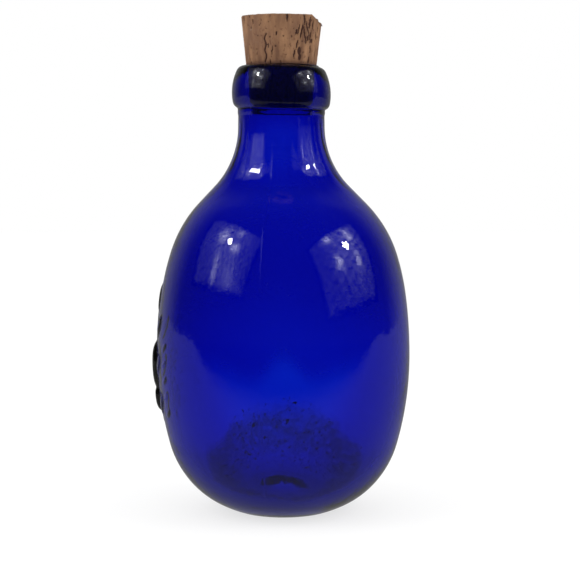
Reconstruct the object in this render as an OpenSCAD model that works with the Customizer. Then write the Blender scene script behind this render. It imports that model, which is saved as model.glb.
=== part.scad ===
// Cobalt glass bottle with an egg-shaped body, an applied lip and a tapered cork.
// Sizes are in millimetres. The origin is the centre of the standing ring, and +Z is up the axis.

/* [Body] */
// Greatest outside radius of the body
body_r = 39.2; // [34:0.1:60]
// Height of the widest level above the standing ring
belly_z = 49; // [44:0.5:70]
// Glass thickness round the body
wall = 3; // [2:0.1:4]
// Radius of the gentle curve just above the widest level
upper_belly_r = 130; // [90:1:170]
// Radius of the curve between that one and the shoulder
high_belly_r = 79; // [60:1:100]
// Slope of the shoulder away from the vertical, in degrees
shoulder_slope = 44; // [38:1:50]
// Length of the straight stretch on the shoulder
shoulder_len = 7.3; // [4:0.1:9]

/* [Base] */
// Outside radius of the standing ring
ring_r = 13.4; // [11:0.1:17]
// Width of the standing ring
ring_w = 4.4; // [2:0.1:5]
// Height of the push-up inside the standing ring
push_up = 3; // [1.5:0.1:4.5]
// Glass thickness above the standing ring
base_t = 7; // [5:0.1:9]
// Radius at which the inside floor turns up into the wall
floor_r = 9; // [7:0.1:11]
// Radius of the shallow curve beside the standing ring
foot_r = 39; // [30:1:48]
// Rounding where that curve meets the standing ring
foot_edge_r = 4; // [2:0.1:6]

/* [Neck] */
// Radius of the passage through the neck
bore_r = 9.7; // [8:0.1:12]
// Glass thickness round the neck
neck_wall = 3.7; // [2.8:0.1:4.5]
// Radius of the hollow curve from the shoulder into the neck
neck_flare_r = 26; // [20:0.5:32]
// Height of the straight neck up to its cut end
neck_len = 16.8; // [14:0.1:24]
// Height of the faint step that the lip tool left below the lip
tool_step_h = 1.6; // [1:0.1:2]
// How far that step stands out from the neck
tool_step = 0.15; // [0.1:0.05:0.3]

/* [Lip] */
// Height of the applied lip
lip_h = 13.2; // [10:0.1:16]
// How far the lip stands out from the neck
lip_proud = 1.95; // [1:0.05:4]
// Thickness of the lip over the neck's cut end
lip_cap = 1.6; // [1:0.1:3]
// Rounding of the lip's lower corner
lip_low_r = 2.4; // [1.5:0.1:3]
// Rounding of the lip's upper corner
lip_top_r = 2.6; // [1.5:0.1:3]
// How far the lip leans, in degrees
lip_lean = 1.5; // [0:0.1:2.5]

/* [Cork] */
// Length of the cork
cork_len = 28.4; // [22:0.1:40]
// Growth of the cork's radius for each millimetre of its length
cork_taper = 0.104; // [0.05:0.002:0.13]
// Depth of the cork's lower end below the rim
cork_in = 12.6; // [9:0.1:15.5]
// Gap round the cork in the neck
cork_clear = 0.15; // [0.05:0.05:0.3]
// Worn edge round both ends of the cork
cork_edge = 0.5; // [0.2:0.1:1]

/* [Relief] */
// Direction of the relief round the body, in degrees
relief_turn = 180; // [0:5:355]
// Height of the relief's tallest leaf above the glass round it
relief_proud = 1.8; // [0.8:0.1:2.4]
// Width of the relief's tallest leaf
leaf_w = 8; // [5:0.5:11]
// Thickness of the relief's stem
stem_d = 1.6; // [1:0.1:2.4]
// Height of the stem above the glass round it
stem_proud = 0.35; // [0.2:0.05:0.6]

/* [Hidden] */

// Directions along the outline of the body, in degrees from +X towards +Z
edge_turn = 18;
foot_turn = 28;
heel_turn = 74.6;
upper_turn = 97.9;
high_turn = 107.8;
slope_turn = 90 + shoulder_slope;

// Longest chord along a curve, and the widest turn that one chord takes
chord = 3;
chord_turn = 12;

// How far the relief's pieces reach into the glass
relief_sink = 1.2;

neck_r = bore_r + neck_wall;
lip_r = neck_r + lip_proud;
cork_low_r = bore_r - cork_clear;
cork_top_r = cork_low_r + cork_taper * cork_len;

// The point at the end of a curve of radius r that leaves p heading a and ends heading b.
// A straight stretch has the same heading twice, and r is its length.
function leg_end(p, r, a, b) =
    a == b ? p + r * [cos(a), sin(a)]
           : p + sign(b - a) * r * [sin(b) - sin(a), cos(a) - cos(b)];

// The points along that curve, without its first one.
function leg(p, r, a, b) =
    let (n = a == b ? 1 : max(ceil(abs(b - a) / chord_turn), ceil(r * abs(b - a) * PI / 180 / chord)))
    a == b ? [leg_end(p, r, a, b)] : [for (i = [1:n]) leg_end(p, r, a, a + (b - a) * i / n)];

// The points along a chain of curves and straights from p. Each step is [radius or length, new heading].
function outline(p, a, steps, i = 0) =
    i == len(steps) ? []
                    : concat(leg(p, steps[i][0], a, steps[i][1]),
                             outline(leg_end(p, steps[i][0], a, steps[i][1]), steps[i][1], steps, i + 1));

// A low dome from the axis out to radius r, where it has sunk by h and lies level again.
function dome(h, r) = let (t = 2 * atan(h / r), k = r / (2 * sin(t))) [[k, -t], [k, 0]];

// Radii of the heel and the lower belly of a bowl that rises from [r0, z0] to the widest level at [r1, z1].
function bowl_gap(r0, z0, r1, z1) = [r1, z1] - leg_end(leg_end([r0, z0], foot_edge_r, 0, edge_turn),
                                                     foot_r, edge_turn, foot_turn);
function bowl_det() = let (u = leg_end([0, 0], 1, foot_turn, heel_turn), v = leg_end([0, 0], 1, heel_turn, 90))
    u[0] * v[1] - u[1] * v[0];
function heel_r(g) = let (v = leg_end([0, 0], 1, heel_turn, 90)) (g[0] * v[1] - g[1] * v[0]) / bowl_det();
function low_r(g) = let (u = leg_end([0, 0], 1, foot_turn, heel_turn)) (u[0] * g[1] - u[1] * g[0]) / bowl_det();
function bowl(g) = [[foot_edge_r, edge_turn], [foot_r, foot_turn], [heel_r(g), heel_turn], [low_r(g), 90]];

// Radius of the shoulder's curve between the widest radius r1 and the neck radius r2. The other curves lose
// the thickness t on the way in, and the hollow curve gains it.
function shoulder_r(r1, r2, t) =
    (r1 - r2 - (upper_belly_r - t) * (1 - sin(upper_turn)) - (high_belly_r - t) * (sin(upper_turn) - sin(high_turn))
     - shoulder_len * sin(shoulder_slope) - (neck_flare_r + t) * (1 - cos(shoulder_slope)))
    / (sin(high_turn) - sin(slope_turn));
function shoulder(r1, r2, t) = [[upper_belly_r - t, upper_turn], [high_belly_r - t, high_turn],
                                [shoulder_r(r1, r2, t), slope_turn], [shoulder_len, slope_turn],
                                [neck_flare_r + t, 90]];

outer_gap = bowl_gap(ring_r, 0, body_r, belly_z);
inner_gap = bowl_gap(floor_r, base_t, body_r - wall, belly_z);
outer_low_r = low_r(outer_gap);

// Heights of the neck's cut end, the rim, the lip's lower edge and the cork's lower end
function last(v) = v[len(v) - 1];
neck_foot_z = last(outline([body_r, belly_z], 90, shoulder(body_r, neck_r, 0)))[1];
neck_top_z = neck_foot_z + neck_len;
rim_z = neck_top_z + lip_cap;
lip_z = rim_z - lip_h;
cork_z = rim_z - cork_in;

// Body radius and the tilt of its surface at a height on the belly
function belly_r(z) = z < belly_z ? outer_low_r : upper_belly_r;
function tilt(z) = asin((z - belly_z) / belly_r(z));
function body_radius(z) = body_r - belly_r(z) * (1 - cos(tilt(z)));

module glass_body() {
    color([0.02, 0.05, 0.62, 0.6])
    difference() {
        union() {
            rotate_extrude($fn = 96) polygon(body_outside());
            tool_mark();
            relief();
        }
        rotate_extrude($fn = 96) polygon(body_inside());
        cork_seat();
    }
}

// Push-up, standing ring, bowl, shoulder and neck, from the axis round to the cut end.
function body_outside() =
    let (ring_in = ring_r - ring_w)
    concat([[0, push_up]], outline([0, push_up], 0, dome(push_up, ring_in)), [[ring_r, 0]],
           outline([ring_r, 0], 0, concat(bowl(outer_gap), shoulder(body_r, neck_r, 0))),
           [[neck_r, neck_top_z], [0, neck_top_z]]);

// The hollow, from the domed floor up to the passage through the neck.
function body_inside() =
    let (floor_rise = push_up * 2 / 3)
    concat([[0, base_t + floor_rise]], outline([0, base_t + floor_rise], 0, dome(floor_rise, floor_r)),
           outline([floor_r, base_t], 0, concat(bowl(inner_gap), shoulder(body_r - wall, bore_r, wall))),
           [[bore_r, neck_top_z + lip_cap], [0, neck_top_z + lip_cap]]);

// The tapered mouth that the cork sits in: parallel to the cork, and larger all round by the gap.
module cork_seat() {
    reach = cork_in + lip_h;
    translate([0, 0, cork_z]) cylinder(h = reach, r1 = bore_r, r2 = bore_r + cork_taper * reach, $fn = 96);
}

// The faint band that the lip tool pressed round the neck, just below the lip.
module tool_mark() {
    translate([0, 0, lip_z - tool_step_h])
        cylinder(h = tool_step_h + lip_h / 2, r = neck_r + tool_step, $fn = 96);
}

// A sprig moulded on one flank: a stem, two large leaves and a small one on it, and leaflets on both sides.
module relief() {
    stem();
    on_belly(0, belly_z + 17) leaf(10, leaf_w * 0.6, relief_proud * 0.35);
    on_belly(0, belly_z - 4) leaf(17, leaf_w, relief_proud);
    on_belly(0, belly_z - 14) leaf(9, leaf_w * 0.8, relief_proud * 0.9);
    for (side = [-1, 1]) {
        for (i = [0:2])
            on_belly(side * 13, belly_z + 9 - 12 * i) rotate([side * 35, 0, 0]) leaf(9, leaf_w * 0.4, relief_proud * 0.4);
        for (i = [0:4])
            on_belly(side * 23, belly_z + 3 - 5 * i) rotate([side * 60, 0, 0]) leaf(4.4, 1.6, relief_proud * 0.3);
    }
}

// Puts a piece on the belly, a turn away from the middle of the relief and at a height, with +X outwards.
module on_belly(turn, z) {
    rotate([0, 0, relief_turn + turn])
        translate([body_radius(z), 0, z])
            rotate([0, -tilt(z), 0])
                children();
}

// A domed leaf with two pointed ends: two crossing cylinders give its outline and a sphere its crown.
module leaf(length, width, proud) {
    side_r = (length * length + width * width) / (4 * width);
    crown_r = (length * length / 4 + proud * proud) / (2 * proud);
    intersection() {
        for_side(side_r - width / 2) cylinder(h = relief_sink + 2 * proud, r = side_r, $fn = 96);
        for_side(width / 2 - side_r) cylinder(h = relief_sink + 2 * proud, r = side_r, $fn = 96);
        translate([proud - crown_r, 0, 0]) sphere(r = crown_r, $fn = 96);
    }
}

// Lays an upright cylinder outwards, starting in the glass, and shifts it sideways.
module for_side(shift) {
    translate([-relief_sink, shift, 0]) rotate([0, 90, 0]) children();
}

// The stem follows the belly in an arc from the lowest leaf to the highest.
module stem() {
    rotate([0, 0, relief_turn])
        translate([body_r + stem_proud - stem_d / 2, 0, belly_z]) {
            stem_arc(outer_low_r, tilt(belly_z - 22), 0);
            stem_arc(upper_belly_r, 0, tilt(belly_z + 17));
        }
}

// One stretch of the stem: a round rod bent to radius r, from tilt a to tilt b.
module stem_arc(r, a, b) {
    translate([-r, 0, 0]) rotate([90, 0, 0])
        rotate([0, 0, a]) rotate_extrude(angle = b - a, $fn = 96) translate([r, 0]) circle(d = stem_d, $fn = 32);
}

// The gather wound round the end of the neck and over its cut end, tooled round and leaning a little.
module lip_ring() {
    color([0.02, 0.04, 0.5, 0.7])
    difference() {
        translate([0, 0, lip_z + lip_h / 2]) rotate([0, lip_lean, 0]) translate([0, 0, -lip_h / 2])
            rotate_extrude($fn = 96) polygon(lip_outside());
        translate([0, 0, lip_z - lip_h / 2])
            cylinder(h = neck_top_z - lip_z + lip_h / 2, r = neck_r, $fn = 96);
        tool_mark();
        cork_seat();
    }
}

// Lower corner, bulging side and upper corner of the lip.
function lip_outside() =
    let (low = 80, high = 115,
         bulge_r = (lip_h - lip_low_r * (1 - cos(low)) - lip_top_r * (1 + cos(high))) / (cos(low) - cos(high)),
         start = [lip_r - lip_low_r * sin(low) - bulge_r * (1 - sin(low)), 0])
    concat([[0, 0], start], outline(start, 0, [[lip_low_r, low], [bulge_r, high], [lip_top_r, 180]]), [[0, lip_h]]);

module cork() {
    color([0.62, 0.42, 0.27])
    translate([0, 0, cork_z])
        rotate_extrude($fn = 96)
            polygon([[0, 0], [cork_low_r - cork_edge, 0], [cork_low_r + cork_taper * cork_edge, cork_edge],
                     [cork_top_r - cork_taper * cork_edge, cork_len - cork_edge],
                     [cork_top_r - cork_edge, cork_len], [0, cork_len]]);
}

glass_body();
lip_ring();
cork();
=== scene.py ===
import math

import bpy
import numpy as np
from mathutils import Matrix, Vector


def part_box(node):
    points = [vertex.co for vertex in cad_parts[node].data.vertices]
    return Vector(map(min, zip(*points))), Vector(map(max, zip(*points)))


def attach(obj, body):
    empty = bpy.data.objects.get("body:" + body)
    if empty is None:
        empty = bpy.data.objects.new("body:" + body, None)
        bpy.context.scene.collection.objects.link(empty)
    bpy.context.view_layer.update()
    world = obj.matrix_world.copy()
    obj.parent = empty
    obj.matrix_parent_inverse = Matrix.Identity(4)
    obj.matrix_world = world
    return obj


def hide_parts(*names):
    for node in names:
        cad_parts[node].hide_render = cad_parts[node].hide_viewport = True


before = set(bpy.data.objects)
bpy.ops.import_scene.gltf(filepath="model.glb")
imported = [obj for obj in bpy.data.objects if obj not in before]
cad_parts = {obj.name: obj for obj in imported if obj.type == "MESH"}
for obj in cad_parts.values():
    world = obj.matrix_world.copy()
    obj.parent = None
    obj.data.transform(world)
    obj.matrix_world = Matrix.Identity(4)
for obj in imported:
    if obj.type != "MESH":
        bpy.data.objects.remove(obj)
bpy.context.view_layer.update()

# ---------------------------------------------------------------- camera
# A product shot: the lens is at the height of the neck's foot and looks slightly down at the middle of the
# bottle, from about three bottle lengths away.

look_at = Vector((0.0020, 0.0, 0.0684))
lens_at = Vector((0.0020, -0.465, 0.0994))
camera_data = bpy.data.cameras.new("camera")
camera_data.sensor_width = 36.0
camera_data.lens = 93.3
camera = bpy.data.objects.new("camera", camera_data)
camera.location = lens_at
camera.rotation_euler = (look_at - lens_at).to_track_quat("-Z", "Y").to_euler()
bpy.context.scene.collection.objects.link(camera)
bpy.context.scene.camera = camera
bpy.context.scene.view_settings.view_transform = "Standard"


# ---------------------------------------------------------------- studio
# A pale table that runs out to a white backdrop, and a soft lamp box on each side of the bottle. One hard
# bulb and a few softer patches of light show through the pale cloth front of each box.

def mirror_share(nodes, links):
    """1 for what is seen as a reflection on the outside of the glass or cork, and 0 for everything else."""
    ray = nodes.new("ShaderNodeLightPath")
    share = nodes.new("ShaderNodeMath")
    share.operation = "SUBTRACT"
    share.use_clamp = True
    links.new(ray.outputs["Is Glossy Ray"], share.inputs[0])
    links.new(ray.outputs["Is Transmission Ray"], share.inputs[1])
    return share.outputs["Value"]


def soft_ramp(nodes, links, value, before, after):
    """A value mapped from the range before to the range after, eased at both ends and held beyond them."""
    ramp = nodes.new("ShaderNodeMapRange")
    ramp.interpolation_type = "SMOOTHSTEP"
    ramp.inputs["From Min"].default_value, ramp.inputs["From Max"].default_value = before
    ramp.inputs["To Min"].default_value, ramp.inputs["To Max"].default_value = after
    links.new(value, ramp.inputs["Value"])
    return ramp.outputs["Result"]


def glowing_card():
    """White card lit from below, so that what stands on it casts only a faint shadow. Mirrored in the glass
    it is about a quarter as bright, and it goes dark a hand's breadth in front of the bottle, where the
    light under it ends."""
    material = bpy.data.materials.new("glowing_card")
    material.use_nodes = True
    nodes, links = material.node_tree.nodes, material.node_tree.links
    shader = nodes["Principled BSDF"]
    shader.inputs["Base Color"].default_value = (0.3, 0.3, 0.3, 1.0)
    shader.inputs["Roughness"].default_value = 0.8
    shader.inputs["Specular IOR Level"].default_value = 0.0
    shader.inputs["Emission Color"].default_value = (1.0, 1.0, 1.0, 1.0)
    shader.inputs["Emission Strength"].default_value = 0.71
    place = nodes.new("ShaderNodeTexCoord")
    split = nodes.new("ShaderNodeSeparateXYZ")
    links.new(place.outputs["Object"], split.inputs[0])
    lit = soft_ramp(nodes, links, split.outputs["Y"], (-0.2, -0.08), (0.03, 0.28))
    mirrored = nodes.new("ShaderNodeEmission")
    links.new(lit, mirrored.inputs["Strength"])
    mix = nodes.new("ShaderNodeMixShader")
    links.new(mirror_share(nodes, links), mix.inputs["Fac"])
    links.new(shader.outputs["BSDF"], mix.inputs[1])
    links.new(mirrored.outputs["Emission"], mix.inputs[2])
    links.new(mix.outputs["Shader"], nodes["Material Output"].inputs["Surface"])
    return material


table_half = 3.0
table_mesh = bpy.data.meshes.new("table")
table_mesh.from_pydata([(-table_half, -table_half, 0.0), (table_half, -table_half, 0.0),
                        (table_half, table_half, 0.0), (-table_half, table_half, 0.0)], [], [(0, 1, 2, 3)])
table_mesh.materials.append(glowing_card())
table = bpy.data.objects.new("table", table_mesh)
bpy.context.scene.collection.objects.link(table)


def white_room():
    """White wherever it is seen directly or through the glass. As a reflection it is nearly dark behind the
    lens, overhead and at both sides, and a third as bright towards the back."""
    world = bpy.data.worlds.new("studio")
    bpy.context.scene.world = world
    world.use_nodes = True
    nodes, links = world.node_tree.nodes, world.node_tree.links
    nodes.clear()
    direction = nodes.new("ShaderNodeTexCoord")
    split = nodes.new("ShaderNodeSeparateXYZ")
    links.new(direction.outputs["Generated"], split.inputs[0])
    depth = soft_ramp(nodes, links, split.outputs["Y"], (0.3, 0.85), (0.05, 0.36))
    seen = nodes.new("ShaderNodeBackground")
    seen.inputs["Color"].default_value = (1.0, 1.0, 1.0, 1.0)
    seen.inputs["Strength"].default_value = 1.0
    reflected = nodes.new("ShaderNodeBackground")
    links.new(depth, reflected.inputs["Strength"])
    mix = nodes.new("ShaderNodeMixShader")
    links.new(mirror_share(nodes, links), mix.inputs["Fac"])
    links.new(seen.outputs["Background"], mix.inputs[1])
    links.new(reflected.outputs["Background"], mix.inputs[2])
    out = nodes.new("ShaderNodeOutputWorld")
    links.new(mix.outputs["Shader"], out.inputs["Surface"])


white_room()


def smooth_step(value, low, high):
    """0 below low, 1 above high, and a soft rise from one to the other between them."""
    share = np.clip((value - low) / (high - low), 0.0, 1.0)
    return share * share * (3.0 - 2.0 * share)


box_half_width, box_half_height, box_distance = 0.39, 0.25, 0.62
hem_width, hem_height = 0.09, 0.05
bulb_radius, bulb_glow, crease_count = 0.029, 70.0, 14


def glow_of_box(across, up, lobes, rng):
    """Brightness of a lamp box's front at (across, up) metres from its bulb: a pale cloth that dims away
    from the bulb, soft lobes where the silver lining throws light back, fine creases, and the bulb itself.
    A lobe is (across, up, width, height, glow)."""
    away = np.hypot(across, up)
    cloth = 0.2 + 0.7 * np.exp(-((away / 0.18) ** 2))
    creases = np.zeros_like(across)
    for _ in range(crease_count):
        wave = rng.uniform(60.0, 320.0)
        phase, bearing = rng.uniform(0.0, 6.28), rng.uniform(0.0, 6.28)
        creases += np.sin(wave * (across * math.cos(bearing) + up * math.sin(bearing)) + phase)
    creases = 1.0 + 0.18 * creases
    for place_across, place_up, width, height, glow in lobes:
        spread = ((across - place_across) / width) ** 2 + ((up - place_up) / height) ** 2
        cloth = cloth + glow * np.exp(-spread)
    return np.maximum(cloth * creases, 0.05) + bulb_glow * (away < bulb_radius)


def lamp_box(side, direction, middle_across, middle_up, lobes, rng):
    """The lit front of a lamp box, seen only as a reflection, and a plain area lamp that gives off its
    light. The box lies in the given direction from the bottle, and its middle is moved from its bulb by the
    two distances."""
    centre = Vector((0.0, 0.0, 0.09))
    towards = -Vector(direction).normalized()
    bulb = centre - towards * box_distance
    right = towards.cross(Vector((0.0, 0.0, 1.0))).normalized()
    rise = right.cross(towards)
    columns, rows = 196, 126
    across, up = np.meshgrid(np.linspace(-box_half_width, box_half_width, columns) + middle_across,
                             np.linspace(-box_half_height, box_half_height, rows) + middle_up)
    points = np.array(bulb) + across[..., None] * np.array(right) + up[..., None] * np.array(rise)
    index = np.arange(rows * columns).reshape(rows, columns)
    quads = np.stack([index[:-1, :-1], index[:-1, 1:], index[1:, 1:], index[1:, :-1]], axis=-1)
    mesh = bpy.data.meshes.new(side + "_box_front")
    mesh.from_pydata(points.reshape(-1, 3).tolist(), [], quads.reshape(-1, 4).tolist())
    hem = (smooth_step(box_half_width - np.abs(across - middle_across), 0.0, hem_width)
           * smooth_step(box_half_height - np.abs(up - middle_up), 0.0, hem_height))
    glow = mesh.attributes.new("glow", "FLOAT", "POINT")
    glow.data.foreach_set("value", (glow_of_box(across, up, lobes, rng) * hem).ravel().astype(np.float32))
    cloth = bpy.data.materials.new(side + "_box_cloth")
    cloth.use_nodes = True
    nodes, links = cloth.node_tree.nodes, cloth.node_tree.links
    nodes.clear()
    brightness = nodes.new("ShaderNodeAttribute")
    brightness.attribute_name = "glow"
    emission = nodes.new("ShaderNodeEmission")
    links.new(brightness.outputs["Fac"], emission.inputs["Strength"])
    out = nodes.new("ShaderNodeOutputMaterial")
    links.new(emission.outputs["Emission"], out.inputs["Surface"])
    mesh.materials.append(cloth)
    front = bpy.data.objects.new(side + "_box_front", mesh)
    front.visible_camera = front.visible_transmission = front.visible_diffuse = front.visible_shadow = False
    bpy.context.scene.collection.objects.link(front)
    lamp = bpy.data.lights.new(side + "_light", "AREA")
    lamp.shape = "RECTANGLE"
    lamp.size, lamp.size_y, lamp.energy = 0.4, 0.4, 1.1
    light = bpy.data.objects.new(side + "_light", lamp)
    light.location = bulb
    light.rotation_euler = towards.to_track_quat("-Z", "Y").to_euler()
    light.visible_camera = light.visible_glossy = light.visible_transmission = False
    bpy.context.scene.collection.objects.link(light)


box_rng = np.random.default_rng(5)
lamp_box("left", (-0.722, -0.34, 0.60), -0.02, -0.06, [
    (-0.1, 0.03, 0.05, 0.05, 3.8), (0.085, -0.035, 0.045, 0.035, 4.4), (0.06, 0.11, 0.03, 0.03, 3.0),
    (-0.07, -0.2, 0.03, 0.09, 2.2), (0.1, -0.22, 0.09, 0.09, 0.9)], box_rng)
lamp_box("right", (0.807, -0.235, 0.541), -0.1, -0.08, [
    (-0.16, 0.11, 0.05, 0.04, 3.4), (0.09, 0.07, 0.045, 0.05, 3.8), (-0.15, -0.085, 0.045, 0.04, 3.4),
    (0.08, -0.12, 0.03, 0.05, 2.6)], box_rng)


# ---------------------------------------------------------------- glass
# One piece of cobalt glass: a bowl with a pushed-up base and a standing ring, blown in a two-part mould,
# with a sprig raised on one flank. The lip is a second gather of the same glass, fused round the neck.

mm = 0.001
body_radius, belly_height, wall = 39.2, 49.0, 3.4
ring_radius, ring_width, push_up, base_thickness, floor_radius = 13.4, 4.4, 3.0, 4.2, 13.0
floor_rise = 0.6
foot_edge, foot_curve = 4.0, 39.0
upper_belly, high_belly, shoulder_straight, neck_flare = 130.0, 79.0, 7.3, 26.0
edge_turn, foot_turn, heel_turn, upper_turn, high_turn, slope_turn = 18.0, 28.0, 74.6, 97.9, 107.8, 134.0
bore, neck_wall, neck_start = 9.7, 3.7, 98.0
neck_radius = bore + neck_wall
lip_height, lip_low, lip_top, lip_lean = 13.2, 2.4, 2.6, 1.5
cork_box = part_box("cork")
cork_foot, cork_head = cork_box[0].z / mm, cork_box[1].z / mm
cork_taper, cork_depth = 0.104, 12.6
crease, mouth_round = 0.3, 0.5
neck_shift = -0.65
sprig_turn, front_turn, seam_turns = 180.0, 270.0, (80.0, 260.0)
tool_band_proud, seam_proud, neck_ripple = 0.15, 0.07, 0.05
patch_edge, patch_depth = 41.5, 1.4
hollow_height, hollow_depth, neck_widening = 102.0, 1.6, 0.5


def off_turn(turns, middle):
    """How far directions lie from a middle one, from -180 to 180 degrees."""
    return (turns - middle + 180.0) % 360.0 - 180.0


def turned(radius, start, end):
    """Where a curve of this radius ends if it leaves the origin at heading start and turns to heading end:
    sign(end - start) * radius * (sin end - sin start, cos start - cos end), headings in degrees."""
    a, b = np.radians(start), np.radians(end)
    bend = np.sign(b - a)[..., None] * radius
    return bend * np.stack([np.sin(b) - np.sin(a), np.cos(a) - np.cos(b)], axis=-1)


def chain(start, heading, steps):
    """An outline in (radius, height) from start. Each step is (curve radius or length, new heading,
    spacing): a new heading bends the line round to it, and the same heading carries it straight on."""
    points, last = [np.array([start], float)], heading
    for size, new, spacing in steps:
        length = size if new == last else size * abs(math.radians(new - last))
        share = np.linspace(0.0, 1.0, max(2, math.ceil(length / spacing)) + 1)[1:]
        angle = last + (new - last) * share
        if new == last:
            onward = np.array([math.cos(math.radians(new)), math.sin(math.radians(new))])
            ahead = share[:, None] * size * onward
        else:
            ahead = turned(size, np.full_like(angle, last), angle)
        points.append(points[-1][-1] + ahead)
        last = new
    return np.concatenate(points)


def dome(height, radius):
    """Angle and curve radius of a low dome that sinks by height over radius and is level at both ends."""
    angle = 2.0 * math.degrees(math.atan(height / radius))
    return angle, radius / (2.0 * math.sin(math.radians(angle)))


def bowl_curves(foot, radius, loss):
    """Radii of the heel and the lower belly, which join the standing ring's curves to the widest level."""
    gap = (np.array([radius, belly_height]) - foot - turned(foot_edge - loss, 0.0, edge_turn)
           - turned(foot_curve - loss, edge_turn, foot_turn))
    sides = np.column_stack([turned(1.0, foot_turn, heel_turn), turned(1.0, heel_turn, 90.0)])
    return np.linalg.solve(sides, gap)


def shoulder_curve(radius, neck, loss):
    """Radius of the shoulder's curve that leaves just enough room for the other curves down to the neck."""
    others = (turned(upper_belly - loss, 90.0, upper_turn) + turned(high_belly - loss, upper_turn, high_turn)
              + turned(neck_flare + loss, slope_turn, 90.0))
    straight = shoulder_straight * math.cos(math.radians(slope_turn))
    return (neck - radius - others[0] - straight) / turned(1.0, high_turn, slope_turn)[0]


def glass_outline():
    """The whole section of the glass: from the middle of the push-up out over the standing ring, up the
    outside and over the lip, then down the mouth and the inside to the middle of the floor. The inside is
    worked out from the floor up and then turned round. Returns the points and how many of them lie on the
    outside."""
    rim = cork_foot + cork_depth
    ring_inside = ring_radius - ring_width
    sink, curve = dome(push_up, ring_inside)
    heel, low = bowl_curves(np.array([ring_radius, 0.0]), body_radius, 0.0)
    turn = shoulder_curve(body_radius, neck_radius, 0.0)
    body = chain((0.0, push_up), 0.0, [
        (curve, -sink, 1.2), (curve, 0.0, 1.2), (ring_width, 0.0, 1.5),
        (foot_edge, edge_turn, 0.8), (foot_curve, foot_turn, 1.6), (heel, heel_turn, 0.9), (low, 90.0, 0.5),
        (upper_belly, upper_turn, 0.5), (high_belly, high_turn, 0.8), (turn, slope_turn, 1.3),
        (shoulder_straight, slope_turn, 1.6), (neck_flare, 90.0, 1.2)])
    corner, low_turn, top_turn = 21.4, 80.0, 115.0
    corner_rise = lip_low * (1.0 - math.cos(math.radians(corner)))
    bulge = ((lip_height - lip_low * (1.0 - math.cos(math.radians(low_turn)))
              - lip_top * (1.0 + math.cos(math.radians(top_turn))))
             / (math.cos(math.radians(low_turn)) - math.cos(math.radians(top_turn))))
    lip = chain((neck_radius, rim - lip_height + corner_rise - crease), 90.0, [
        (crease, corner, 0.15), (lip_low, low_turn, 0.4), (bulge, top_turn, 0.7), (lip_top, 180.0, 0.45)])
    lip[:, 1] += rim - lip[-1, 1]
    neck_rise = lip[0, 1] - body[-1, 1]
    neck = chain(body[-1], 90.0, [(neck_rise, 90.0, 0.6)])
    outside = np.concatenate([body, neck[1:], lip[1:]])
    sink, curve = dome(floor_rise, floor_radius)
    heel, low = bowl_curves(np.array([floor_radius, base_thickness]), body_radius - wall, wall)
    turn = shoulder_curve(body_radius - wall, bore, wall)
    inside = chain((0.0, base_thickness + floor_rise), 0.0, [
        (curve, -sink, 1.6), (curve, 0.0, 1.6),
        (foot_edge - wall, edge_turn, 0.5), (foot_curve - wall, foot_turn, 2.0), (heel, heel_turn, 1.3),
        (low, 90.0, 2.0), (upper_belly - wall, upper_turn, 2.0), (high_belly - wall, high_turn, 2.0),
        (turn, slope_turn, 1.8), (shoulder_straight, slope_turn, 2.0), (neck_flare + wall, 90.0, 1.8)])
    seat_heading = math.degrees(math.atan(1.0 / cork_taper))
    to_cork = cork_foot - inside[-1, 1]
    seat = (rim - mouth_round - cork_foot) / math.sin(math.radians(seat_heading))
    passage = chain(inside[-1], 90.0, [(to_cork, 90.0, 1.2), (0.5, seat_heading, 0.3),
                                       (seat, seat_heading, 1.5), (mouth_round, 0.0, 0.2)])
    passage[:, 1] = np.minimum(passage[:, 1], rim)
    inside = np.concatenate([inside, passage[1:]])[::-1]
    return np.concatenate([outside, inside]), len(outside)


def crowded_turns(count, crowds):
    """Directions round a full turn in degrees, closer together near each crowd, which is given by its
    direction, half width and extra density."""
    fine = np.linspace(0.0, 360.0, 7201)
    density = np.ones_like(fine)
    for direction, half_width, extra in crowds:
        density += extra / (1.0 + (off_turn(fine, direction) / half_width) ** 8)
    travelled = np.concatenate([[0.0], np.cumsum(0.5 * (density[1:] + density[:-1]))])
    return np.interp(np.arange(count) / count * travelled[-1], travelled, fine)


def slow_waves(turns, heights, rng, count, shortest, longest):
    """Plane waves that close round the bottle, from -1 to 1: the mean of some cos(m * direction + 2 pi *
    height / length + phase), with m from 0 to 4 and a length of shortest to longest mm up the height."""
    total = np.zeros(np.broadcast(turns, heights).shape)
    for _ in range(count):
        around = rng.integers(0, 5)
        length = rng.uniform(shortest, longest) * rng.choice([-1.0, 1.0])
        phase = rng.uniform(0.0, 2.0 * np.pi)
        total += np.cos(around * np.radians(turns) + 2.0 * np.pi * heights / length + phase)
    return total / count


def leaf(turns, heights, place, tilt, size, proud):
    """Height over the glass of one moulded leaf at place (direction, height): an oval swelling s * (2 - s),
    with s = 1 - u^2 - v^2, size (length, width) mm, tilted by some degrees from upright. A broad leaf has a
    groove down its middle."""
    across = np.radians(off_turn(turns, place[0])) * body_radius
    up = heights - place[1]
    lean = math.radians(tilt)
    along = up * math.cos(lean) + across * math.sin(lean)
    aside = across * math.cos(lean) - up * math.sin(lean)
    swell = np.clip(1.0 - (2.0 * along / size[0]) ** 2 - (2.0 * aside / size[1]) ** 2, 0.0, 1.0)
    groove = 1.0 - 0.3 * np.exp(-((aside / 0.45) ** 2)) * (size[1] > 3.0)
    return proud * swell * (2.0 - swell) * groove


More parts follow.
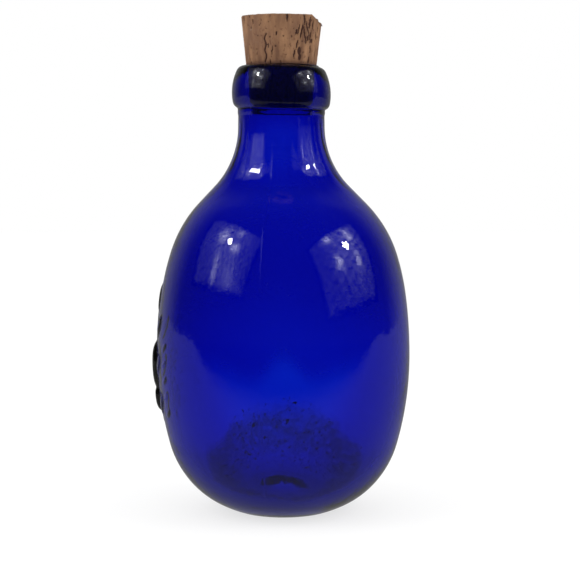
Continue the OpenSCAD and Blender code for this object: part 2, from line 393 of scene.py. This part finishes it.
def sprig(turns, heights):
    """Height of the moulded sprig on the flank: a stem, three leaves on it, and smaller leaves beside it."""
    across = np.radians(off_turn(turns, sprig_turn)) * body_radius
    length = smooth_step(heights, belly_height - 23.0, belly_height - 21.0) * smooth_step(
        -heights, -belly_height - 18.0, -belly_height - 16.0)
    total = 0.35 * np.clip(1.0 - (across / 0.8) ** 2, 0.0, 1.0) * length
    leaves = [(0.0, 17.0, 0.0, (10.0, 4.8), 0.6), (0.0, -4.0, 0.0, (17.0, 8.0), 1.72),
              (0.0, -14.0, 0.0, (9.0, 6.4), 1.6)]
    for side in (-1.0, 1.0):
        leaves += [(side * 13.0, 9.0 - 12.0 * i, side * 35.0, (9.0, 3.4), 0.55) for i in range(3)]
        leaves += [(side * 23.0, 3.0 - 5.0 * i, side * 60.0, (4.8, 1.8), 0.22) for i in range(5)]
    for turn, rise, tilt, size, proud in leaves:
        place = (sprig_turn + turn, belly_height + rise)
        total = np.maximum(total, leaf(turns, heights, place, tilt, size, proud))
    return total


def thin_places(turns, heights):
    """How much thinner than the wall the glass is, mm. A band over the belly is thicker, the left side is
    thicker than the right, and the front has a thin patch below a wavy edge, where the first gather ended.
    The edge rises to both sides, and again in the middle."""
    slow = -0.1 * np.exp(-(((heights - 42.0) / 14.0) ** 2)) - 0.6 * np.exp(-(((heights - 73.0) / 13.0) ** 2))
    slow = slow - 0.25 * np.cos(np.radians(turns - 180.0)) * np.exp(-(((heights - 55.0) / 18.0) ** 2))
    aside = off_turn(turns, front_turn)
    edge = patch_edge + 0.25 * np.abs(aside) + 10.0 * np.exp(-((aside / 9.0) ** 2))
    patch = smooth_step(edge - heights, -4.5, 4.5) * smooth_step(heights, 9.0, 33.0) * (
        smooth_step(0.55 * heights - np.abs(aside), -25.0, 3.0))
    return slow + patch_depth * patch


def front_hollow(turns, heights):
    """Depth of the shallow hollow at the front where the jacks pinched the neck in, mm."""
    aside = np.abs(off_turn(turns, front_turn))
    fall = np.exp(-(((heights - hollow_height) / 7.0) ** 2))
    return hollow_depth * fall * smooth_step(-aside, -75.0, -30.0)


def glass_points(outline, outside_count, turns):
    """The outline turned round the axis and then moved along its own outward normals. Outside it gets
    hand-made waves, the mould seams, ripples on the neck, the band of the lip tool, the sprig and the
    hollow at the front of the neck. Inside it gets deeper waves and the thin places, a neck that is a
    little wider below the cork, and a bulge behind the hollow. The neck stands a little off the body's axis
    and the lip leans."""
    rng = np.random.default_rng(11)
    along = np.gradient(outline, axis=0)
    along /= np.linalg.norm(along, axis=1)[:, None]
    radius, height = outline[:, :1], outline[:, 1:]
    angle = turns[None, :]
    outer = (np.arange(len(outline)) < outside_count)[:, None]
    off_foot = smooth_step(height, 1.5, 14.0)
    lift = (-0.12 + 0.1 * slow_waves(angle, height, rng, 9, 30.0, 90.0)) * off_foot
    for seam_turn in seam_turns:
        away = np.radians(off_turn(angle, seam_turn)) * radius
        lift += seam_proud * np.exp(-((away / 0.3) ** 2)) * off_foot * smooth_step(-height, -119.0, -100.0)
    on_neck = smooth_step(height, neck_start, neck_start + 10.0)
    lift += neck_ripple * np.sin(np.radians(angle) * 23.0 + height * 0.08) * on_neck * (
        smooth_step(-height, -122.0, -119.0))
    tool_band = (smooth_step(height, lip_foot - 1.9, lip_foot - 1.5)
                 * smooth_step(-height, -lip_foot - 0.3, -lip_foot))
    lift += tool_band_proud * tool_band + sprig(angle, height) - front_hollow(angle, height)
    away_from_ends = smooth_step(radius, 4.0, 16.0) * smooth_step(-height, -118.0, -104.0)
    waves = 0.2 * slow_waves(angle, height, rng, 9, 25.0, 80.0)
    inner_lift = (waves - thin_places(angle, height)) * away_from_ends
    wide_neck = smooth_step(height, neck_start, neck_start + 12.0) * smooth_step(-height, -124.0, -116.5)
    inner_lift = inner_lift - neck_widening * wide_neck + 0.95 * front_hollow(angle, height)
    lift = np.where(outer, lift, inner_lift)
    reach = radius + along[:, 1:] * lift
    level = height - along[:, :1] * lift
    east, north = reach * np.cos(np.radians(angle)), reach * np.sin(np.radians(angle))
    lean = math.radians(lip_lean) * smooth_step(level, lip_foot - 2.5, lip_foot + 1.0) * outer
    level = level - east * lean
    east = east + neck_shift * smooth_step(level, 78.0, 112.0)
    return np.stack([east, north, level], axis=-1) * mm


def closed_surface(name, points, poles):
    """A mesh from a grid of points whose columns run round the axis, with a fan to a pole at each end."""
    rows, around = points.shape[:2]
    index = np.arange(rows * around).reshape(rows, around)
    after = np.roll(index, -1, axis=1)
    quads = np.stack([index[:-1], after[:-1], after[1:], index[1:]], axis=-1).reshape(-1, 4)
    first = np.stack([np.full(around, rows * around), after[0], index[0]], axis=-1)
    last = np.stack([index[-1], after[-1], np.full(around, rows * around + 1)], axis=-1)
    mesh = bpy.data.meshes.new(name)
    corners = np.concatenate([points.reshape(-1, 3), np.array(poles)])
    mesh.from_pydata(corners.tolist(), [], quads.tolist() + first.tolist() + last.tolist())
    mesh.shade_smooth()
    return mesh


def noise_over(nodes, links, vector, scale, detail):
    """Cloudy noise from 0 to 1 whose largest clouds are about 1 / scale metres across."""
    texture = nodes.new("ShaderNodeTexNoise")
    texture.inputs["Scale"].default_value = scale
    texture.inputs["Detail"].default_value = detail
    links.new(vector, texture.inputs["Vector"])
    return texture.outputs["Fac"]


def bumps_of(nodes, links, height, strength, distance):
    """A bump node that raises the surface by up to distance metres where height is 1."""
    bump = nodes.new("ShaderNodeBump")
    bump.inputs["Strength"].default_value = strength
    bump.inputs["Distance"].default_value = distance
    links.new(height, bump.inputs["Height"])
    return bump


def cobalt_glass():
    """Clear glass whose body drinks red and green: light fades by e to the power of minus the loss below
    for each metre that it travels. The skin has faint orange peel and fine wear, and is a little duller in
    patches."""
    material = bpy.data.materials.new("cobalt_glass")
    material.use_nodes = True
    nodes, links = material.node_tree.nodes, material.node_tree.links
    shader = nodes["Principled BSDF"]
    shader.inputs["Base Color"].default_value = (1.0, 1.0, 1.0, 1.0)
    shader.inputs["Transmission Weight"].default_value = 1.0
    shader.inputs["IOR"].default_value = 1.5
    place = nodes.new("ShaderNodeTexCoord").outputs["Object"]
    dull = nodes.new("ShaderNodeMapRange")
    dull.inputs["From Min"].default_value = 0.35
    dull.inputs["From Max"].default_value = 0.75
    dull.inputs["To Min"].default_value = 0.01
    dull.inputs["To Max"].default_value = 0.05
    links.new(noise_over(nodes, links, place, 60.0, 4.0), dull.inputs["Value"])
    links.new(dull.outputs["Result"], shader.inputs["Roughness"])
    peel = bumps_of(nodes, links, noise_over(nodes, links, place, 260.0, 3.0), 0.5, 0.0001)
    wear = bumps_of(nodes, links, noise_over(nodes, links, place, 700.0, 2.0), 0.5, 0.00003)
    links.new(peel.outputs["Normal"], wear.inputs["Normal"])
    links.new(wear.outputs["Normal"], shader.inputs["Normal"])
    loss_per_metre = np.array([1650.0, 890.0, 155.0])
    densest = 1700.0
    tint = nodes.new("ShaderNodeVolumeAbsorption")
    tint.inputs["Color"].default_value = (*(1.0 - loss_per_metre / densest), 1.0)
    tint.inputs["Density"].default_value = densest
    links.new(tint.outputs["Volume"], nodes["Material Output"].inputs["Volume"])
    return material


outline, outside_count = glass_outline()
lip_foot = cork_foot + cork_depth - lip_height
turns = crowded_turns(286, [(sprig_turn, 33.0, 2.4), (seam_turns[0], 2.0, 6.0), (seam_turns[1], 2.0, 6.0)])
glass_grid = glass_points(outline[1:-1], outside_count - 1, turns)
surface = closed_surface("blue_bottle", glass_grid, [(0.0, 0.0, outline[0, 1] * mm),
                                                     (0.0, 0.0, outline[-1, 1] * mm)])
surface.materials.append(cobalt_glass())
bottle = bpy.data.objects.new("blue_bottle", surface)
bpy.context.scene.collection.objects.link(bottle)
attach(bottle, "bottle")
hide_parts("glass_body", "lip_ring")


# ---------------------------------------------------------------- cork
# One piece of natural cork bark, turned to a taper and worn. Dark pores run up it, its right upper edge is
# broken away, and its top was cut a little out of square. It is held in the neck only by its taper.

worn_end, worn_edge, cork_foot_radius = 1.3, 0.3, 9.55
cork_low = cork_foot_radius + cork_taper * worn_end
cork_wide = cork_foot_radius + cork_taper * (cork_head - cork_foot)
cork_end = cork_foot + worn_end
mouth_level, above_lip, cork_lean = 137.0, 138.0, 0.5
pore_depth, top_pore_depth = 0.35, 0.3


def cork_outline():
    """The cork's section from the middle of its lower end round the side to the middle of its top."""
    corners = np.array([(0.0, cork_end), (cork_low - worn_edge, cork_end),
                        (cork_low + cork_taper * worn_edge, cork_end + worn_edge),
                        (cork_wide - cork_taper * worn_edge, cork_head - worn_edge),
                        (cork_wide - worn_edge, cork_head), (0.0, cork_head)])
    spacings = (0.9, 0.2, 0.26, 0.15, 0.35)
    points = [corners[:1]]
    for start, end, spacing in zip(corners[:-1], corners[1:], spacings):
        steps = math.ceil(np.linalg.norm(end - start) / spacing)
        points.append(start + (end - start) * np.linspace(0.0, 1.0, steps + 1)[1:, None])
    return np.concatenate(points)


def bark_pores(across, up, rng, count, widths, lengths):
    """How deep in a pore each place is, from 0 to 1. Pores are narrow ovals that run up the cork, at random
    places, with edges frayed by a fine ripple. across is measured round the cork and up along it, in mm."""
    depth = np.zeros_like(across)
    span = 2.0 * math.pi * cork_wide
    fray = 0.3 * np.sin(across * 7.1 + up * 3.3) + 0.3 * np.sin(up * 9.7 - across * 4.1)
    for _ in range(count):
        place_across, place_up = rng.uniform(0.0, span), rng.uniform(cork_foot, cork_head)
        width, length, slant = rng.uniform(*widths), rng.uniform(*lengths), rng.normal(0.0, 0.12)
        aside = (across - place_across - slant * (up - place_up) + span / 2.0) % span - span / 2.0
        reach = np.sqrt((aside / width) ** 2 + ((up - place_up) / length) ** 2) + fray * 0.5
        depth = np.maximum(depth, smooth_step(1.25 - reach, 0.0, 0.5))
    return depth


def cork_points(section, turns):
    """The cork's grid and how deep in a pore each of its points is. The side is pitted by the pores, the
    top is cut out of square and has pores seen end on, and the broken edge is a rough slope."""
    rng = np.random.default_rng(23)
    angle = np.radians(turns)[None, :]
    radius, height = section[:, :1], section[:, 1:]
    across = angle * cork_wide + np.zeros_like(radius)
    up = height + np.zeros_like(across)
    long_pores = bark_pores(across, up, rng, 120, (0.16, 0.42), (0.7, 1.9))
    specks = bark_pores(across, up, rng, 260, (0.12, 0.32), (0.15, 0.5))
    crack = np.exp(-(((across - cork_wide * math.radians(245.0) + 0.25 * np.sin(up * 1.7)) / 0.34) ** 2))
    crack = smooth_step(crack, 0.2, 0.9) * smooth_step(up, 136.0, above_lip)
    crack = crack * smooth_step(-up, -148.0, -145.5)
    cluster = np.zeros_like(across)
    largest = [(301.0, 147.6, 0.3, 2.6, 0.16), (306.0, 147.2, 0.28, 2.2, -0.2),
               (312.0, 148.2, 0.3, 1.7, -0.5), (299.0, 141.2, 0.7, 1.3, 0.0),
               (300.5, 139.2, 0.55, 1.0, 0.1), (322.0, 144.6, 0.6, 0.7, 0.0)]
    for turn, level, width, length, slant in largest:
        aside = across - cork_wide * math.radians(turn) - slant * (up - level)
        reach = np.sqrt((aside / width) ** 2 + ((up - level) / length) ** 2)
        cluster = np.maximum(cluster, smooth_step(1.3 - reach, 0.0, 0.6))
    side_pore = np.maximum.reduce([long_pores, 0.7 * specks, crack, cluster])
    east, north = radius * np.cos(angle), radius * np.sin(angle)
    on_top = (height > cork_head - 1e-6) | (height < cork_end + 1e-6)
    end_pore = np.zeros_like(across)
    for _ in range(60):
        place, size = rng.uniform(-cork_wide, cork_wide, 2), rng.uniform(0.2, 0.55)
        long_way = rng.uniform(1.0, 3.5)
        reach = np.hypot((east - place[0]) / (size * long_way), (north - place[1]) / size)
        end_pore = np.maximum(end_pore, smooth_step(1.2 - reach, 0.0, 0.6))
    pore = np.where(on_top, end_pore, side_pore)
    grain = 0.06 * slow_waves(turns[None, :] * 5.0, up, rng, 12, 1.5, 9.0)
    lift = -0.08 + grain - pore_depth * pore * smooth_step(up, 136.5, above_lip)
    reach = np.maximum(radius + np.where(on_top, 0.0, 1.0) * lift, 0.0)
    east, north = reach * np.cos(angle), reach * np.sin(angle)
    share = smooth_step(up, above_lip, cork_head)
    ragged = 0.05 * np.sin(angle * 17.0 + 1.0) + 0.04 * np.sin(angle * 31.0) + 0.06 * np.sin(angle * 6.0)
    cut = -0.045 * (cork_wide - north) + 0.4 * ragged * smooth_step(radius, 9.0, 12.0)
    level = up + share * cut - top_pore_depth * end_pore * (height > cork_head - 1e-6)
    break_start = 8.4 + 0.015 * (north + 4.0) ** 2 + 0.25 * np.sin(north * 1.9)
    broken = cork_head - 0.6 - 0.78 * (east - break_start) + 0.22 * np.sin(north * 2.7 + east * 3.9)
    level = np.where(east > break_start, np.minimum(level, broken), level)
    tone = smooth_step(level - broken, -0.15, 0.1) * (east > break_start)
    middle = np.where(share > 0.0, (up - mouth_level) * math.tan(math.radians(cork_lean)), 0.0)
    level = np.minimum(level, cork_head)
    return np.stack([east + middle + neck_shift, north, level], axis=-1) * mm, np.maximum(pore, 0.55 * tone)


def bark():
    """Tan bark with lengthwise streaks, darker patches and flecks, nearly black in the pores, and darker
    below the mouth of the bottle, fading back to its own colour about a millimetre above the mouth."""
    material = bpy.data.materials.new("bark")
    material.use_nodes = True
    nodes, links = material.node_tree.nodes, material.node_tree.links
    shader = nodes["Principled BSDF"]
    shader.inputs["Roughness"].default_value = 0.85
    shader.inputs["Specular IOR Level"].default_value = 0.25
    place = nodes.new("ShaderNodeTexCoord")

    def noise(scale, detail, stretch):
        """Noise of a given scale, drawn out along the cork by 1 / stretch."""
        along = nodes.new("ShaderNodeMapping")
        along.inputs["Scale"].default_value = (1.0, 1.0, stretch)
        links.new(place.outputs["Object"], along.inputs["Vector"])
        return noise_over(nodes, links, along.outputs["Vector"], scale, detail)

    def blend(share, first, second):
        """Two colours mixed, where second is a colour, and first and share are sockets."""
        mix = nodes.new("ShaderNodeMix")
        mix.data_type = "RGBA"
        links.new(share, mix.inputs["Factor"])
        links.new(first, mix.inputs["A"])
        mix.inputs["B"].default_value = (*second, 1.0)
        return mix.outputs["Result"]

    tan = nodes.new("ShaderNodeValToRGB")
    dark, light = tan.color_ramp.elements
    dark.position, dark.color = 0.3, (0.13, 0.062, 0.034, 1.0)
    light.position, light.color = 0.7, (0.31, 0.165, 0.083, 1.0)
    links.new(noise(420.0, 6.0, 0.22), tan.inputs["Fac"])
    patches = soft_ramp(nodes, links, noise(130.0, 4.0, 0.5), (0.45, 0.75), (0.0, 0.6))
    colour = blend(patches, tan.outputs["Color"], (0.15, 0.075, 0.045))
    flecks = soft_ramp(nodes, links, noise(1500.0, 3.0, 0.5), (0.58, 0.7), (0.0, 0.55))
    colour = blend(flecks, colour, (0.09, 0.035, 0.022))
    pore = nodes.new("ShaderNodeAttribute")
    pore.attribute_name = "pore"
    in_pore = soft_ramp(nodes, links, pore.outputs["Fac"], (0.15, 0.8), (0.0, 0.93))
    colour = blend(in_pore, colour, (0.035, 0.012, 0.009))
    split = nodes.new("ShaderNodeSeparateXYZ")
    links.new(place.outputs["Object"], split.inputs[0])
    # The cork is darker below the mouth of the bottle and fades back to its own colour about a millimetre
    # above it.
    neck_darkening = soft_ramp(nodes, links, split.outputs["Z"], (0.1372, 0.1386), (0.75, 0.0))
    colour = blend(neck_darkening, colour, (0.06, 0.025, 0.018))
    links.new(colour, shader.inputs["Base Color"])
    rough = bumps_of(nodes, links, noise(1100.0, 5.0, 0.4), 0.7, 0.0002)
    links.new(rough.outputs["Normal"], shader.inputs["Normal"])
    return material


section = cork_outline()
cork_turns = np.arange(320) / 320.0 * 360.0
cork_grid, in_pores = cork_points(section[1:-1], cork_turns)
cork_surface = closed_surface("cork_stopper", cork_grid, [tuple(cork_grid[0].mean(axis=0)),
                                                         tuple(cork_grid[-1].mean(axis=0))])
pores = cork_surface.attributes.new("pore", "FLOAT", "POINT")
pores.data.foreach_set("value", np.append(in_pores.ravel(), (0.0, 0.0)).astype(np.float32))
cork_surface.materials.append(bark())
stopper = bpy.data.objects.new("cork_stopper", cork_surface)
bpy.context.scene.collection.objects.link(stopper)
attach(stopper, "stopper")
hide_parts("cork")


# ---------------------------------------------------------------- dregs
# What the last fill left behind, dried on to the inside of the bowl: a thin brown film, and on it dust and
# a few larger scales, which are flat chips. Both end at a slanted shore: the bottle dried leaning back.

bend_radius = 28.0
film_clear, film_edge, film_thick = 0.03, 0.005, 0.05
floor_cover, shore_cover = 0.08, 0.37


def inner_places(grid, count, rng):
    """Random places spread evenly over a surface grid, as points with their outward normals and the
    direction across. A cell is drawn by its area."""
    corner = grid[:-1]
    side = np.roll(grid, -1, axis=1)[:-1] - corner
    down = grid[1:] - corner
    square = np.cross(side, down)
    area = np.linalg.norm(square, axis=-1)
    cell = rng.choice(area.size, count, p=(area / area.sum()).ravel())
    share = rng.uniform(0.0, 1.0, (2, count, 1))
    side, down = side.reshape(-1, 3)[cell], down.reshape(-1, 3)[cell]
    normal = square.reshape(-1, 3)[cell] / area.ravel()[cell, None]
    return corner.reshape(-1, 3)[cell] + share[0] * side + share[1] * down, normal, side


def chips(places, normals, across, sizes, sides, rng):
    """One flat chip at each place: a ring of points just above the glass, with a middle point over it and
    one under it. It stands off by as much as the glass curves up under its rim. Every ring is uneven, so
    the chips look broken and not punched."""
    count = len(places)
    first = across / np.linalg.norm(across, axis=1)[:, None]
    second = np.cross(normals, first)
    angle = np.linspace(0.0, 2.0 * np.pi, sides, endpoint=False) + rng.uniform(0.0, 6.28, (count, 1))
    reach = sizes[:, None] * rng.uniform(0.55, 1.25, (count, sides))
    ring = ((np.cos(angle) * reach)[..., None] * first[:, None]
            + (np.sin(angle) * reach)[..., None] * second[:, None])
    clear = (sizes ** 2 / (2.0 * bend_radius) + 0.04)[:, None] * normals
    thick = rng.uniform(0.05, 0.16, count)[:, None] * normals
    middle = places + clear
    below, above = (middle - 0.2 * thick)[:, None], (middle + thick)[:, None]
    points = np.concatenate([middle[:, None] + ring, below, above], axis=1)
    here = np.arange(sides)
    after = (here + 1) % sides
    bottom = np.stack([np.full(sides, sides), after, here], axis=-1)
    top = np.stack([np.full(sides, sides + 1), here, after], axis=-1)
    one = np.concatenate([bottom, top])
    faces = (one[None] + (np.arange(count) * points.shape[1])[:, None, None]).reshape(-1, 3)
    return points.reshape(-1, 3), faces


def dried_dregs():
    """Dull brown dirt, mottled from chip to chip and along each."""
    material = bpy.data.materials.new("dried_dregs")
    material.use_nodes = True
    nodes, links = material.node_tree.nodes, material.node_tree.links
    shader = nodes["Principled BSDF"]
    shader.inputs["Roughness"].default_value = 0.9
    place = nodes.new("ShaderNodeTexCoord")
    mottle = noise_over(nodes, links, place.outputs["Object"], 350.0, 5.0)
    browns = nodes.new("ShaderNodeValToRGB")
    dark, light = browns.color_ramp.elements
    dark.position, dark.color = 0.35, (0.03, 0.018, 0.012, 1.0)
    light.position, light.color = 0.7, (0.2, 0.13, 0.09, 1.0)
    links.new(mottle, browns.inputs["Fac"])
    links.new(browns.outputs["Color"], shader.inputs["Base Color"])
    rough = bumps_of(nodes, links, mottle, 0.6, 0.0001)
    links.new(rough.outputs["Normal"], shader.inputs["Normal"])
    return material


bowl_top = 36.0
is_inside = np.arange(len(outline) - 2) > outside_count
bowl_grid = glass_grid[np.flatnonzero((outline[1:-1, 1] < bowl_top) & is_inside)] / mm


def shore_level(east, north):
    """Height at which the dregs dried, mm: higher at the back, lower at the sides, and a little ragged."""
    bearing = np.arctan2(north, east)
    ragged = 0.12 * np.sin(17.0 * bearing) + 0.1 * np.sin(41.0 * bearing + 1.0)
    return 15.6 + 0.42 * north - 0.0065 * east ** 2 + 0.4 * np.sin(east * 0.6 + 1.0) + ragged


def dregs_layer(tries, share, size_step, size_range, sides, rng):
    """One layer of chips, which lie below the shore, off the flat floor and more thickly in clots."""
    places, normals, across = inner_places(bowl_grid, tries, rng)
    east, north, level = places.T
    shore = shore_level(east, north) + rng.normal(0.0, 0.7, len(places))
    clots = 0.5 + 0.5 * np.sin(east * 0.9 + 2.0 * np.sin(north * 0.5)) * np.sin(north * 0.8 + level * 0.5)
    chance = share * (0.55 + 0.45 * clots) * smooth_step(shore - level, 0.0, 3.0)
    kept = rng.uniform(0.0, 1.0, len(places)) < chance
    kept &= np.hypot(east, north) > floor_radius + 2.0
    sizes = rng.gamma(3.0, size_step, len(places)).clip(*size_range)
    return chips(places[kept], normals[kept], across[kept], sizes[kept], sides, rng)


def film_grid(rows):
    """The two faces of the dried film as one grid: from the middle of the floor up over the glass to the
    shore, then back down. Each column of the bowl is cut where it crosses the shore and divided evenly
    below it. Also returns how far up towards the shore each row lies, from 0 to 1."""
    rising = bowl_grid[::-1]
    east, north, level = np.moveaxis(rising, -1, 0)
    over = level - shore_level(east, north)
    column = np.arange(rising.shape[1])
    first = ((over > 0.0) & (np.hypot(east, north) > floor_radius)).argmax(axis=0)
    crossing = first - over[first, column] / (over[first, column] - over[first - 1, column])
    way = np.linspace(0.01, 1.0, rows)[:, None]
    below = np.minimum((way * crossing).astype(int), len(rising) - 2)
    share = (way * crossing - below)[..., None]
    points = rising[below, column] * (1.0 - share) + rising[below + 1, column] * share
    normal = np.cross(np.gradient(points, axis=0), np.roll(points, -1, axis=1) - np.roll(points, 1, axis=1))
    normal /= np.linalg.norm(normal, axis=-1)[..., None]
    thickness = film_edge + film_thick * (1.0 - way[..., None] ** 6)
    under = points + film_clear * normal
    return np.concatenate([under, (under + thickness * normal)[::-1]]), np.concatenate([way, way[::-1]])


def dried_film():
    """A dull brown haze, thinner in cloudy patches and between fine grains, that fades out at the shore."""
    material = bpy.data.materials.new("dried_film")
    material.use_nodes = True
    nodes, links = material.node_tree.nodes, material.node_tree.links
    shader = nodes["Principled BSDF"]
    shader.inputs["Roughness"].default_value = 0.9
    place = nodes.new("ShaderNodeTexCoord")
    cover = nodes.new("ShaderNodeAttribute")
    cover.attribute_name = "cover"
    solid = cover.outputs["Fac"]
    for scale, detail, thinnest in ((300.0, 5.0, 0.5), (1100.0, 3.0, 0.6)):
        cloud = noise_over(nodes, links, place.outputs["Object"], scale, detail)
        times = nodes.new("ShaderNodeMath")
        times.operation = "MULTIPLY"
        links.new(solid, times.inputs[0])
        links.new(soft_ramp(nodes, links, cloud, (0.35, 0.65), (thinnest, 1.0)), times.inputs[1])
        solid = times.outputs["Value"]
    links.new(solid, shader.inputs["Alpha"])
    browns = nodes.new("ShaderNodeValToRGB")
    browns.color_ramp.elements[0].color = (0.05, 0.03, 0.02, 1.0)
    browns.color_ramp.elements[1].color = (0.2, 0.13, 0.09, 1.0)
    links.new(solid, browns.inputs["Fac"])
    links.new(browns.outputs["Color"], shader.inputs["Base Color"])
    return material


film_points, film_way = film_grid(48)
film_mesh = closed_surface("dried_film", film_points * mm, [tuple(film_points[0].mean(axis=0) * mm),
                                                            tuple(film_points[-1].mean(axis=0) * mm)])
film_cover = floor_cover + shore_cover * smooth_step(film_way, 0.4, 0.75)
film_cover = np.broadcast_to(film_cover * smooth_step(1.0 - film_way, 0.0, 0.12), film_points.shape[:2])
cover = film_mesh.attributes.new("cover", "FLOAT", "POINT")
cover.data.foreach_set("value", np.append(film_cover.ravel(), (floor_cover, floor_cover)).astype(np.float32))
film_mesh.materials.append(dried_film())
film = bpy.data.objects.new("dried_film", film_mesh)
bpy.context.scene.collection.objects.link(film)
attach(film, "bottle")

dregs_rng = np.random.default_rng(41)
dust_points, dust_faces = dregs_layer(48000, 0.13, 0.075, (0.12, 0.45), 4, dregs_rng)
scale_points, scale_faces = dregs_layer(5000, 0.03, 0.2, (0.3, 1.2), 7, dregs_rng)
points = np.concatenate([dust_points, scale_points])
faces = np.concatenate([dust_faces, scale_faces + len(dust_points)])
dregs_mesh = bpy.data.meshes.new("dried_dregs")
dregs_mesh.from_pydata((points * mm).tolist(), [], faces.tolist())
dregs_mesh.materials.append(dried_dregs())
dregs = bpy.data.objects.new("dried_dregs", dregs_mesh)
bpy.context.scene.collection.objects.link(dregs)
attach(dregs, "bottle")
